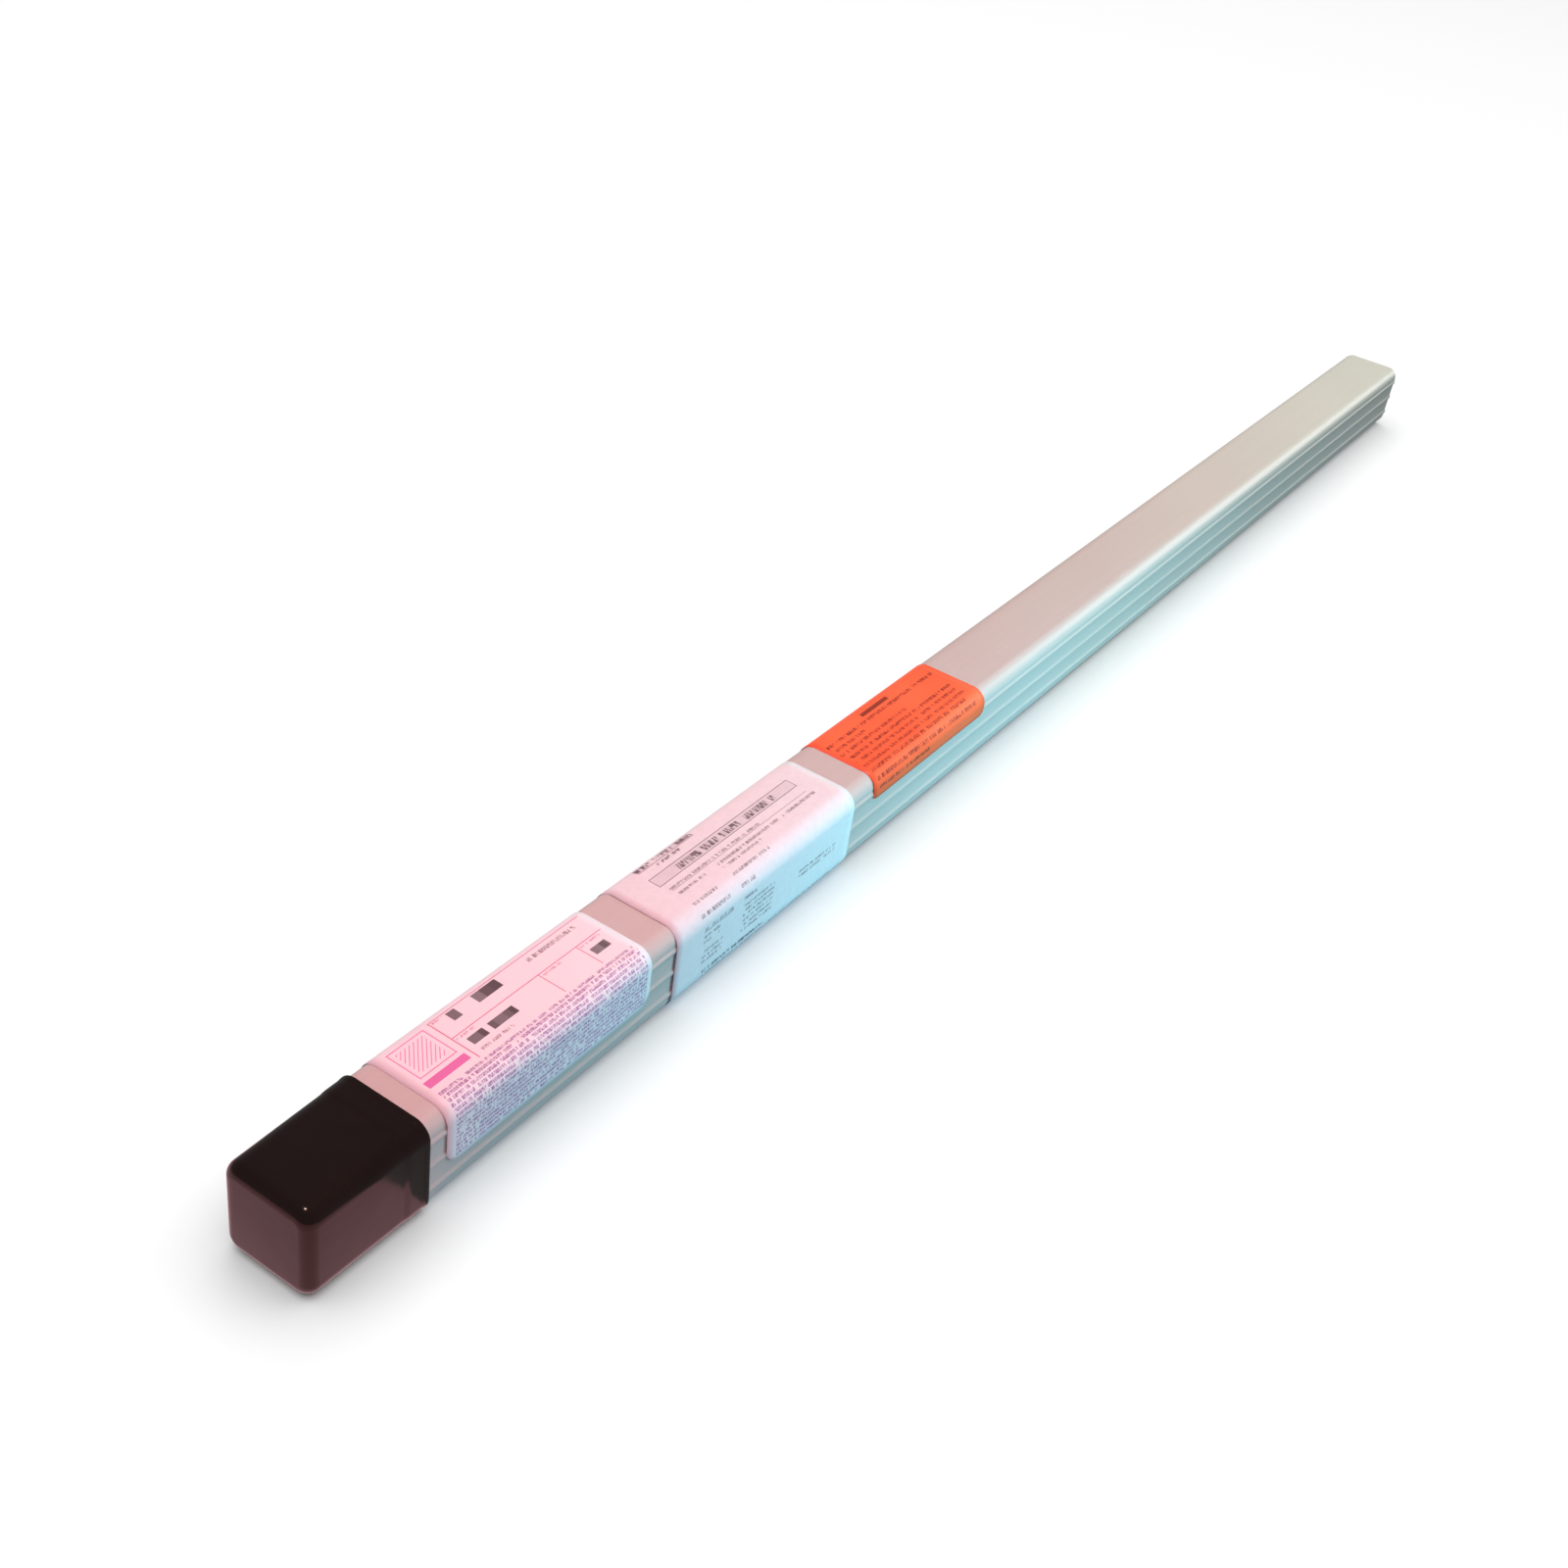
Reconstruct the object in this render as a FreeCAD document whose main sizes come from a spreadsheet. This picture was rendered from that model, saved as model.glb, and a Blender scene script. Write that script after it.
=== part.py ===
import FreeCAD, Part
import Sketcher
import math
import os

# Tube pack of TIG filler rods: a ribbed square plastic tube, closed by a push-on
# vinyl cap and a push-in plug, with fourteen loose rods inside and three labels.
# +X runs along the tube from the cap to the plug, +Z is up, millimetres.
# The origin is under the middle of the pack, at the level that the cap rests on.

os.makedirs("parts", exist_ok=True)
doc = FreeCAD.newDocument("filler_rod_pack")

# Driving dimensions
sizes = {
    "rod_length": 914.4,
    "rod_diameter": 2.4,
    "rod_count": 14,
    "rod_row": 10,
    "rod_gap": 0.05,
    "rod_room": 1.1,
    "tube_width": 36.4,
    "tube_height": 36.4,
    "tube_corner": 6.0,
    "flat_wall": 2.0,
    "side_wall": 1.2,
    "cavity_corner": 4.6,
    "rib_count": 3,
    "rib_pitch": 10.0,
    "rib_crest": 1.0,
    "rib_foot": 3.0,
    "rib_height": 0.6,
    "cap_length": 49.0,
    "cap_wall": 0.5,
    "cap_floor": 2.0,
    "cap_clearance": 0.15,
    "cap_shrink": 1.0,
    "cap_taper": 1.5,
    "cap_collar": 8.0,
    "cap_collar_chamfer": 0.7,
    "cap_end_radius": 4.5,
    "cap_inner_radius": 3.0,
    "mouth_gap": 0.2,
    "plug_depth": 18.0,
    "plug_floor": 2.0,
    "plug_wall": 1.5,
    "plug_slack": 0.6,
    "plug_clearance": 0.05,
    "fin_count": 3,
    "fin_thickness": 1.2,
    "fin_pitch": 5.0,
    "fin_inset": 3.0,
    "label_thickness": 0.15,
    "product_label_corner": 6.0,
    "sticker_corner": 3.0,
    "product_label_gap": 7.9,
    "product_label_length": 101.6,
    "product_label_front": 22.7,
    "product_label_back": 19.7,
    "sticker_gap": 15.0,
    "sticker_length": 90.4,
    "sticker_front": 10.7,
    "sticker_back": 9.5,
    "sheet_gap": 14.3,
    "sheet_length": 115.5,
    "sheet_thickness": 0.4,
    "sheet_looseness": 0.1,
}

# Sizes that follow from the driving ones
worked_out = {
    "overall_length": "cap_floor + cap_inner_radius + rod_room + rod_length + plug_depth",
    "cap_start": "-overall_length / 2",
    "cap_neck": "cap_length - cap_collar",
    "tube_start": "cap_start + cap_neck + cap_wall + mouth_gap",
    "tube_length": "overall_length / 2 - tube_start",
    "rod_start": "cap_start + cap_floor + cap_inner_radius + rod_room / 2",
    "axis_height": "tube_height / 2 + cap_clearance + cap_wall",
    "cavity_width": "tube_width - 2 * rib_height - 2 * side_wall",
    "cavity_height": "tube_height - 2 * flat_wall",
    "cap_bore_width": "tube_width + 2 * cap_clearance",
    "cap_bore_height": "tube_height + 2 * cap_clearance",
    "cap_bore_corner": "tube_corner + cap_clearance",
    "cap_neck_width": "tube_width - cap_shrink",
    "cap_neck_height": "tube_height - cap_shrink",
    "cap_end_width": "cap_neck_width - cap_taper",
    "cap_end_height": "cap_neck_height - cap_taper",
    "plug_width": "cavity_width - 2 * plug_slack",
    "plug_height": "cavity_height - 2 * plug_slack",
    "plug_corner": "cavity_corner - plug_slack",
    "rod_step": "rod_diameter + rod_gap",
    "product_label_start": "cap_length + product_label_gap",
    "sheet_start": "product_label_start + product_label_length + sheet_gap",
    "sticker_start": "sheet_start + sheet_length + sticker_gap",
}

sheet = doc.addObject("Spreadsheet::Sheet", "Sizes")
for row, (alias, value) in enumerate(sizes.items(), start=1):
    sheet.set(f"A{row}", alias)
    sheet.set(f"B{row}", str(value))
    sheet.setAlias(f"B{row}", alias)
for row, (alias, formula) in enumerate(worked_out.items(), start=len(sizes) + 1):
    sheet.set(f"A{row}", alias)
    sheet.set(f"B{row}", "=" + formula)
    sheet.setAlias(f"B{row}", alias)
doc.recompute()

subparts = []


def size(alias):
    """The present value of one size on the sheet."""
    return float(sheet.get(alias))


def value_of(formula):
    """The present value of a formula that names sizes on the sheet."""
    return float(sheet.evalExpression(formula))


def on_sheet(formula):
    """The same formula as another object writes it, with the sheet's name before each size."""
    words = []
    for word in formula.split():
        bare = word.strip("()-")
        if bare in sizes or bare in worked_out:
            word = word.replace(bare, "Sizes." + bare)
        words.append(word)
    return " ".join(words)


def new_body(label, start, height="axis_height"):
    """An empty body whose own origin is on the tube's axis, at the given place along it."""
    body = doc.addObject("PartDesign::Body", label)
    body.Label = label
    body.setExpression("Placement.Base.x", on_sheet(start))
    body.setExpression("Placement.Base.z", on_sheet(height))
    subparts.append(body)
    return body


def origin_feature(body, role):
    """One of the body's own base planes or axes."""
    return next(item for item in body.Origin.OriginFeatures if item.Role == role)


def new_sketch(body, name, plane="YZ_Plane", offset=None):
    """A sketch on a base plane. On the YZ plane it runs across and up, and faces along the tube."""
    sketch = body.newObject("Sketcher::SketchObject", name)
    sketch.AttachmentSupport = (origin_feature(body, plane), "")
    sketch.MapMode = "FlatFace"
    if offset:
        sketch.setExpression("AttachmentOffset.Base.z", on_sheet(offset))
    return sketch


def dimension(sketch, kind, references, formula):
    """A dimension of a sketch that is bound to the sheet."""
    index = sketch.addConstraint(Sketcher.Constraint(kind, *references, value_of(formula)))
    sketch.setExpression(f"Constraints[{index}]", on_sheet(formula))


def rounded_rectangle(sketch, wide, tall, radius):
    """A rectangle with round corners, centred on the sketch's origin."""
    half_wide = value_of(wide) / 2
    half_tall = value_of(tall) / 2
    r = value_of(radius)
    first = sketch.GeometryCount
    corners = [(1, 1, 0), (-1, 1, 90), (-1, -1, 180), (1, -1, 270)]
    for x_side, y_side, from_angle in corners:
        centre = FreeCAD.Vector(x_side * (half_wide - r), y_side * (half_tall - r), 0)
        circle = Part.Circle(centre, FreeCAD.Vector(0, 0, 1), r)
        begin = math.radians(from_angle)
        sketch.addGeometry(Part.ArcOfCircle(circle, begin, begin + math.pi / 2))
    for number in range(4):
        arc = first + number
        following = first + (number + 1) % 4
        side = sketch.addGeometry(
            Part.LineSegment(
                sketch.Geometry[arc].EndPoint,
                sketch.Geometry[following].StartPoint,
            )
        )
        sketch.addConstraint(Sketcher.Constraint("Tangent", arc, 2, side, 1))
        sketch.addConstraint(Sketcher.Constraint("Tangent", side, 2, following, 1))
        direction = "Horizontal" if number % 2 == 0 else "Vertical"
        sketch.addConstraint(Sketcher.Constraint(direction, side))
        if number:
            sketch.addConstraint(Sketcher.Constraint("Equal", first, arc))
    # The centres of two opposite corners lie evenly about the origin
    sketch.addConstraint(Sketcher.Constraint("Symmetric", first, 3, first + 2, 3, -1, 1))
    top, left, bottom, right = (first + 4 + number for number in range(4))
    dimension(sketch, "DistanceX", (left, 1, right, 1), wide)
    dimension(sketch, "DistanceY", (bottom, 1, top, 1), tall)
    dimension(sketch, "Radius", (first,), radius)


def straight_outline(sketch, points):
    """A closed outline of straight sides. Each corner is a pair of formulas, across and up."""
    places = [FreeCAD.Vector(value_of(x), value_of(y), 0) for x, y in points]
    first = sketch.GeometryCount
    for number, place in enumerate(places):
        sketch.addGeometry(Part.LineSegment(place, places[(number + 1) % len(places)]))
    for number, (x, y) in enumerate(points):
        side = first + number
        following = first + (number + 1) % len(points)
        sketch.addConstraint(Sketcher.Constraint("Coincident", side, 2, following, 1))
        for kind, formula in (("DistanceX", x), ("DistanceY", y)):
            if value_of(formula) < 0:
                dimension(sketch, kind, (side, 1, -1, 1), f"-1 * ( {formula} )")
            else:
                dimension(sketch, kind, (-1, 1, side, 1), formula)


def pad(body, sketch, name, length):
    """A solid made by pushing a sketch along the tube."""
    feature = body.newObject("PartDesign::Pad", name)
    feature.Profile = sketch
    feature.setExpression("Length", on_sheet(length))
    doc.recompute()
    return feature


def pocket(body, sketch, name, length, reverse=True):
    """A cut made by pushing a sketch into the body. It has to take some volume away."""
    before = body.Shape.Volume
    feature = body.newObject("PartDesign::Pocket", name)
    feature.Profile = sketch
    feature.Reversed = reverse
    feature.setExpression("Length", on_sheet(length))
    doc.recompute()
    if not body.Shape.Volume < before:
        raise RuntimeError(f"{name} cuts nothing")
    return feature


def draft(body, base, name, angle):
    """Tilts the long faces of a pad outwards, about the body's own YZ plane."""
    long_faces = [
        f"Face{n}" for n, face in enumerate(base.Shape.Faces, start=1) if face.BoundBox.XLength > 1
    ]
    feature = body.newObject("PartDesign::Draft", name)
    feature.Base = (base, long_faces)
    feature.NeutralPlane = (origin_feature(body, "YZ_Plane"), [""])
    feature.Reversed = True
    feature.setExpression("Angle", on_sheet(angle))
    doc.recompute()
    return feature


def row_of(body, feature, name, role, count, step):
    """Evenly spaced copies of a feature along one of the body's axes."""
    pattern = body.newObject("PartDesign::LinearPattern", name)
    pattern.Originals = [feature]
    pattern.Direction = (origin_feature(body, role), [""])
    pattern.Mode = "Spacing"
    pattern.setExpression("Occurrences", on_sheet(count))
    pattern.setExpression("Offset", on_sheet(step))
    body.Tip = pattern
    doc.recompute()
    return pattern


def ease(body, base, name, edges, amount, kind="Fillet", sized="Radius"):
    """Rounds, or with kind Chamfer bevels, the edges of a feature that the given test picks."""
    picked = [f"Edge{n}" for n, edge in enumerate(base.Shape.Edges, start=1) if edges(edge)]
    if not picked:
        raise RuntimeError(f"{name} finds no edge")
    feature = body.newObject(f"PartDesign::{kind}", name)
    feature.Base = (base, picked)
    feature.setExpression(sized, on_sheet(amount))
    doc.recompute()
    return feature


def lies_at(edge, place):
    """Whether a whole edge lies in the plane at this place along the body's own X axis."""
    box = edge.BoundBox
    return abs(box.XMin - place) < 0.001 and abs(box.XMax - place) < 0.001


def make_tube():
    """The extrusion: a hollow square with well rounded corners, and ribs along both sides."""
    body = new_body("tube", "tube_start")
    outline = new_sketch(body, "tube_outline")
    rounded_rectangle(outline, "tube_width - 2 * rib_height", "tube_height", "tube_corner")
    pad(body, outline, "tube_stock", "tube_length")

    cavity = new_sketch(body, "tube_cavity_outline")
    rounded_rectangle(cavity, "cavity_width", "cavity_height", "cavity_corner")
    pocket(body, cavity, "tube_cavity", "tube_length")

    rib = new_sketch(body, "lowest_rib")
    rib.setExpression("AttachmentOffset.Base.y", on_sheet("-1 * rib_pitch * ( rib_count - 1 ) / 2"))
    for side in ("-1", "1"):
        straight_outline(
            rib,
            [
                (f"{side} * tube_width / 2", "-1 * rib_crest / 2"),
                (f"{side} * ( tube_width / 2 - rib_height )", "-1 * rib_foot / 2"),
                (f"{side} * ( tube_width / 2 - rib_height )", "rib_foot / 2"),
                (f"{side} * tube_width / 2", "rib_crest / 2"),
            ],
        )
    lowest = pad(body, rib, "lowest_ribs", "tube_length")
    row_of(body, lowest, "ribs", "Z_Axis", "rib_count", "rib_pitch")


def make_end_cap():
    """The dipped vinyl cap. Its slack end tapers, and only its collar is stretched on the tube."""
    body = new_body("end_cap", "cap_start")
    end = new_sketch(body, "cap_end_outline")
    rounded_rectangle(end, "cap_end_width", "cap_end_height", "tube_corner")
    stock = pad(body, end, "cap_stock", "cap_neck")
    draft(body, stock, "cap_tapered_sides", "atan( cap_taper / 2 / cap_neck )")
    collar = new_sketch(body, "cap_collar_outline", offset="cap_neck")
    rounded_rectangle(
        collar,
        "cap_bore_width + 2 * cap_wall",
        "cap_bore_height + 2 * cap_wall",
        "cap_bore_corner + cap_wall",
    )
    pad(body, collar, "cap_collar_stock", "cap_collar")

    hollow = new_sketch(body, "cap_hollow_outline", offset="cap_floor")
    rounded_rectangle(
        hollow,
        "cap_end_width - 2 * cap_wall",
        "cap_end_height - 2 * cap_wall",
        "tube_corner - cap_wall",
    )
    hollowed = pocket(body, hollow, "cap_hollow", "cap_length - cap_floor")

    floor = size("cap_floor")
    step = size("cap_neck")
    neck_reach = size("cap_neck_width") / 2 + 0.1

    def at_collar(edge):
        box = edge.BoundBox
        reach = max(box.YMax, -box.YMin, box.ZMax, -box.ZMin)
        return lies_at(edge, step) and reach > neck_reach

    inner = ease(
        body, hollowed, "cap_inner_end", lambda edge: lies_at(edge, floor), "cap_inner_radius"
    )
    outer = ease(body, inner, "cap_round_end", lambda edge: lies_at(edge, 0), "cap_end_radius")
    ease(body, outer, "cap_step", at_collar, "cap_collar_chamfer", "Chamfer", "Size")

    bore = new_sketch(body, "cap_bore_outline", offset="cap_neck + cap_wall")
    rounded_rectangle(bore, "cap_bore_width", "cap_bore_height", "cap_bore_corner")
    pocket(body, bore, "cap_bore", "cap_collar - cap_wall")


def make_end_plug():
    """The push-in plug: a thin cup with sealing fins round it, flush with the tube's cut end."""
    body = new_body("end_plug", "tube_start + tube_length - plug_depth")
    outline = new_sketch(body, "plug_outline")
    rounded_rectangle(outline, "plug_width", "plug_height", "plug_corner")
    pad(body, outline, "plug_core", "plug_depth")

    fin = new_sketch(body, "first_fin_outline", offset="fin_inset")
    rounded_rectangle(
        fin,
        "cavity_width - 2 * plug_clearance",
        "cavity_height - 2 * plug_clearance",
        "cavity_corner - plug_clearance",
    )
    first = pad(body, fin, "first_fin", "fin_thickness")
    row_of(body, first, "fins", "X_Axis", "fin_count", "fin_pitch")

    hollow = new_sketch(body, "plug_hollow_outline")
    rounded_rectangle(
        hollow,
        "plug_width - 2 * plug_wall",
        "plug_height - 2 * plug_wall",
        "plug_corner - plug_wall",
    )
    pocket(body, hollow, "plug_hollow", "plug_depth - plug_floor")


def wrap(label, start, length, thickness, looseness):
    """A sleeve of one thickness round the tube. A label is cut from it."""
    body = new_body(label, f"cap_start + {start}")
    outline = new_sketch(body, f"{label}_section")
    reach = f"( {looseness} + {thickness} )"
    rounded_rectangle(
        outline,
        f"tube_width + 2 * {reach}",
        f"tube_height + 2 * {reach}",
        f"tube_corner + {reach}",
    )
    rounded_rectangle(
        outline,
        f"tube_width + 2 * {looseness}",
        f"tube_height + 2 * {looseness}",
        f"tube_corner + {looseness}",
    )
    return body, pad(body, outline, f"{label}_sleeve", length)


def make_label(label, start, length, front, back, corner):
    """A stuck-on label: over the top and down each side wall to its own depth, with round corners."""
    body, sleeve = wrap(label, start, length, "label_thickness", "0")
    cut = sleeve
    for side, depth in (("-1", front), ("1", back)):
        below = new_sketch(body, f"{label}_below_{'front' if side == '-1' else 'back'}")
        reach = f"{side} * ( tube_width / 2 + 2 * label_thickness )"
        straight_outline(
            below,
            [
                ("0", "-1 * ( tube_height / 2 + 2 * label_thickness )"),
                (reach, "-1 * ( tube_height / 2 + 2 * label_thickness )"),
                (reach, f"tube_height / 2 - {depth}"),
                ("0", f"tube_height / 2 - {depth}"),
            ],
        )
        cut = pocket(body, below, f"{below.Name}_cut", length)
    thickness = size("label_thickness")

    def at_corner(edge):
        box = edge.BoundBox
        return abs(edge.Length - thickness) < 0.001 and abs(box.YLength - thickness) < 0.001

    ease(body, cut, f"{label}_corners", at_corner, corner)


def make_data_sheet():
    """The folded paper sheet, wrapped right round the tube, a little looser than a label."""
    wrap("data_sheet", "sheet_start", "sheet_length", "sheet_thickness", "sheet_looseness")


def make_rods():
    """A full bottom row of loose rods across the tube's floor, and the rest in its valleys.
    They stand out of the tube's mouth, into the hollow of the cap."""
    row = int(size("rod_row"))
    for number in range(int(size("rod_count"))):
        layer, place = divmod(number, row)
        rod = doc.addObject("Part::Cylinder", f"rod_{number + 1:02d}")
        rod.Label = f"rod_{number + 1:02d}"
        rod.setExpression("Radius", on_sheet("rod_diameter / 2"))
        rod.setExpression("Height", on_sheet("rod_length"))
        rod.Placement = FreeCAD.Placement(
            FreeCAD.Vector(0, 0, 0), FreeCAD.Rotation(FreeCAD.Vector(0, 1, 0), 90)
        )
        # Upper rods lie in every second valley, so that each touches only the row below
        across = place if layer == 0 else 2 * place + 1.5
        rod.setExpression("Placement.Base.x", on_sheet("rod_start"))
        rod.setExpression(
            "Placement.Base.y",
            on_sheet(f"rod_step * ( {across} - ( rod_row - 1 ) / 2 )"),
        )
        rod.setExpression(
            "Placement.Base.z",
            on_sheet(
                "axis_height - cavity_height / 2 + rod_gap + rod_diameter / 2"
                f" + {layer} * rod_step * sqrt(3) / 2"
            ),
        )
        subparts.append(rod)


make_tube()
make_end_cap()
make_end_plug()
make_label(
    "product_label",
    "product_label_start",
    "product_label_length",
    "product_label_front",
    "product_label_back",
    "product_label_corner",
)
make_data_sheet()
make_label(
    "orange_sticker",
    "sticker_start",
    "sticker_length",
    "sticker_front",
    "sticker_back",
    "sticker_corner",
)
make_rods()
doc.recompute()

for item in doc.Objects:
    if {"Invalid", "Error"} & set(item.State):
        raise RuntimeError(f"{item.Label} failed: {item.State}")
for subpart in subparts:
    if subpart.Shape.isNull() or not subpart.Shape.isValid():
        raise RuntimeError(f"{subpart.Label} has no sound shape")
    if len(subpart.Shape.Solids) != 1:
        raise RuntimeError(f"{subpart.Label} is not one solid")
for subpart in subparts:
    subpart.Shape.exportStep(os.path.join("parts", f"{subpart.Label}.step"))
    box = subpart.Shape.BoundBox
    print(
        f"{subpart.Label}: {subpart.Shape.Volume:.1f} mm3,"
        f" x {box.XMin:.2f} to {box.XMax:.2f},"
        f" y {box.YMin:.2f} to {box.YMax:.2f},"
        f" z {box.ZMin:.2f} to {box.ZMax:.2f}"
    )
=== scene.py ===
import math

import bmesh
import bpy
from mathutils import Matrix, Vector


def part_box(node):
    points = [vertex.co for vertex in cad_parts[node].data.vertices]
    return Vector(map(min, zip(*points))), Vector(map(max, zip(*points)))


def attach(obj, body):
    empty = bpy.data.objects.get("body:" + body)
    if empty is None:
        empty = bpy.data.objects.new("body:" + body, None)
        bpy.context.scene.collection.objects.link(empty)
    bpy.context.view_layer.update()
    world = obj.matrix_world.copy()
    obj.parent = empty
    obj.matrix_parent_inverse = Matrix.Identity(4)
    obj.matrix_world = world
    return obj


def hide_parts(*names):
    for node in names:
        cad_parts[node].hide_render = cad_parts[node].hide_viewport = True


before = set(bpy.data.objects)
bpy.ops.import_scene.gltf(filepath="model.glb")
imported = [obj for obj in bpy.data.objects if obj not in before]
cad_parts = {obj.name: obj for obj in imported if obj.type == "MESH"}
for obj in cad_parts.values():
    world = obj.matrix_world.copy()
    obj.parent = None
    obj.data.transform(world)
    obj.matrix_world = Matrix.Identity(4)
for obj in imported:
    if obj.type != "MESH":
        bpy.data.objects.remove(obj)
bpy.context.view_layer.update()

MM = 0.001

# Sizes of the tube, in metres, from the frame where it holds them
tube_low, tube_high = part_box("tube")
TUBE_START, TUBE_END = tube_low.x, tube_high.x
HALF_WIDTH = (tube_high.y - tube_low.y) / 2
HALF_HEIGHT = (tube_high.z - tube_low.z) / 2
AXIS_HEIGHT = (tube_high.z + tube_low.z) / 2
TUBE_CORNER = 6.0 * MM
SIDE_WALL = 1.2 * MM
FLAT_WALL = 2.0 * MM
CAVITY_CORNER = 4.6 * MM
RIB_HEIGHT = 0.6 * MM
RIB_CREST = 1.0 * MM
RIB_FOOT = 3.0 * MM
RIB_PITCH = 10.0 * MM
SOFT_EDGE = 0.45 * MM

# Sizes of the cap, as half widths across it. Its slack end tapers, and its collar is stretched
cap_low, cap_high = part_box("end_cap")
CAP_FLOOR = 2.0 * MM
CAP_COLLAR = 8.0 * MM
CAP_END_HALF = HALF_HEIGHT - 0.3 * MM
CAP_NECK_HALF = HALF_HEIGHT + 0.12 * MM
CAP_COLLAR_HALF = HALF_HEIGHT + 0.42 * MM
CAP_HOLLOW_HALF = HALF_HEIGHT - 1.2 * MM
CAP_BORE_HALF = HALF_HEIGHT + 0.06 * MM
CAP_MOUTH_HALF = cap_high.y
CAP_LIP = 0.25 * MM
CAP_END_RADIUS = 4.5 * MM
CAP_INNER_RADIUS = 3.0 * MM
CAP_STEP_LENGTH = 3.6 * MM
CAP_FLARE_LENGTH = 2.2 * MM

# Sizes of the sheets. Their corners are wider than the tube's, because they lie over its ribs
FILM_THICKNESS = 0.15 * MM
FILM_CORNER = TUBE_CORNER + 0.6 * MM
PAPER_THICKNESS = 0.12 * MM
PAPER_CORNER = TUBE_CORNER + 1.5 * MM
PAPER_STANDOFF = 0.2 * MM

# Where on the floor the rose light gives way to the blue one
GLOW_EDGE = -0.419


class Recipe:
    """The nodes of one material, added one at a time."""

    def __init__(self, name):
        self.material = bpy.data.materials.new(name)
        self.material.use_nodes = True
        self.tree = self.material.node_tree
        self.shader = self.tree.nodes["Principled BSDF"]

    def node(self, kind, **settings):
        made = self.tree.nodes.new(kind)
        for key, value in settings.items():
            setattr(made, key, value)
        return made

    def feed(self, socket, value):
        """Links a socket, or sets a plain number, colour or vector on it."""
        if isinstance(value, bpy.types.NodeSocket):
            self.tree.links.new(value, socket)
        elif value is not None:
            socket.default_value = value

    def place(self, stretch=(1, 1, 1)):
        """Object coordinates, stretched."""
        source = self.node("ShaderNodeTexCoord").outputs["Object"]
        mapping = self.node("ShaderNodeMapping")
        self.feed(mapping.inputs["Vector"], source)
        mapping.inputs["Scale"].default_value = stretch
        return mapping.outputs["Vector"]

    def noise(self, scale, stretch=(1, 1, 1), detail=3.0, roughness=0.5):
        made = self.node("ShaderNodeTexNoise")
        self.feed(made.inputs["Vector"], self.place(stretch))
        made.inputs["Scale"].default_value = scale
        made.inputs["Detail"].default_value = detail
        made.inputs["Roughness"].default_value = roughness
        return made.outputs["Fac"]

    def sum(self, operation, first, second=None, third=None):
        """Any step of arithmetic."""
        made = self.node("ShaderNodeMath", operation=operation)
        for socket, value in zip(made.inputs, (first, second, third)):
            self.feed(socket, value)
        return made.outputs[0]

    def spread(self, value, low, high, to_low=0.0, to_high=1.0):
        """Maps a range of values to another, and clamps."""
        made = self.node("ShaderNodeMapRange")
        self.feed(made.inputs["Value"], value)
        for name, number in (
            ("From Min", low),
            ("From Max", high),
            ("To Min", to_low),
            ("To Max", to_high),
        ):
            made.inputs[name].default_value = number
        return made.outputs["Result"]

    def blend(self, share, first, second):
        """A mix of two colours."""
        made = self.node("ShaderNodeMix", data_type="RGBA")
        self.feed(made.inputs["Factor"], share)
        for socket, colour in ((made.inputs[6], first), (made.inputs[7], second)):
            self.feed(socket, colour if not isinstance(colour, tuple) else (*colour, 1.0))
        return made.outputs[2]

    def bump(self, height, distance, strength=1.0, normal=None):
        made = self.node("ShaderNodeBump")
        made.inputs["Strength"].default_value = strength
        made.inputs["Distance"].default_value = distance
        self.feed(made.inputs["Height"], height)
        self.feed(made.inputs["Normal"], normal)
        return made.outputs["Normal"]

    def finish(self, **sockets):
        names = {
            "colour": "Base Color",
            "roughness": "Roughness",
            "metallic": "Metallic",
            "normal": "Normal",
            "specular_tint": "Specular Tint",
        }
        for key, value in sockets.items():
            if isinstance(value, tuple):
                value = (*value, 1.0)
            self.feed(self.shader.inputs[names[key]], value)
        return self.material


def extruded_plastic():
    """Pale extruded plastic: faint draw lines along the tube, scuffs and a soft gloss."""
    r = Recipe("extruded_plastic")
    draw_lines = r.noise(900, stretch=(0.01, 1, 1), detail=2)
    cloud = r.noise(9, detail=2)
    scuff_field = r.noise(260, stretch=(0.12, 1, 1), detail=4, roughness=0.7)
    scuffs = r.spread(scuff_field, 0.64, 0.74)
    tint = r.blend(r.spread(cloud, 0.1, 0.9), (0.47, 0.485, 0.47), (0.51, 0.52, 0.505))
    tint = r.blend(r.spread(draw_lines, 0.35, 0.65, 0.0, 0.25), tint, (0.55, 0.56, 0.55))
    tint = r.blend(r.sum("MULTIPLY", scuffs, 0.35), tint, (0.66, 0.66, 0.65))
    rough = r.sum("ADD", r.spread(cloud, 0.1, 0.9, 0.26, 0.32), r.sum("MULTIPLY", scuffs, 0.2))
    relief = r.sum("ADD", draw_lines, r.sum("MULTIPLY", scuff_field, 0.5))
    return r.finish(colour=tint, roughness=rough, normal=r.bump(relief, 0.00004, 0.5))


def black_vinyl():
    """Glossy dipped vinyl with a faint ripple and a little dust."""
    r = Recipe("black_vinyl")
    ripple = r.noise(70, detail=2)
    grain = r.noise(1500, detail=2)
    dust = r.spread(r.noise(2600, detail=1), 0.72, 0.8)
    tint = r.blend(r.spread(ripple, 0.3, 0.7), (0.003, 0.002, 0.002), (0.005, 0.003, 0.003))
    tint = r.blend(r.sum("MULTIPLY", dust, 0.06), tint, (0.30, 0.26, 0.26))
    rounded = r.bump(ripple, 0.0006, 0.25)
    return r.finish(
        colour=tint,
        roughness=r.spread(grain, 0.3, 0.7, 0.14, 0.22),
        specular_tint=(1.0, 0.62, 0.55),
        normal=r.bump(grain, 0.00003, 0.25, rounded),
    )


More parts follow.
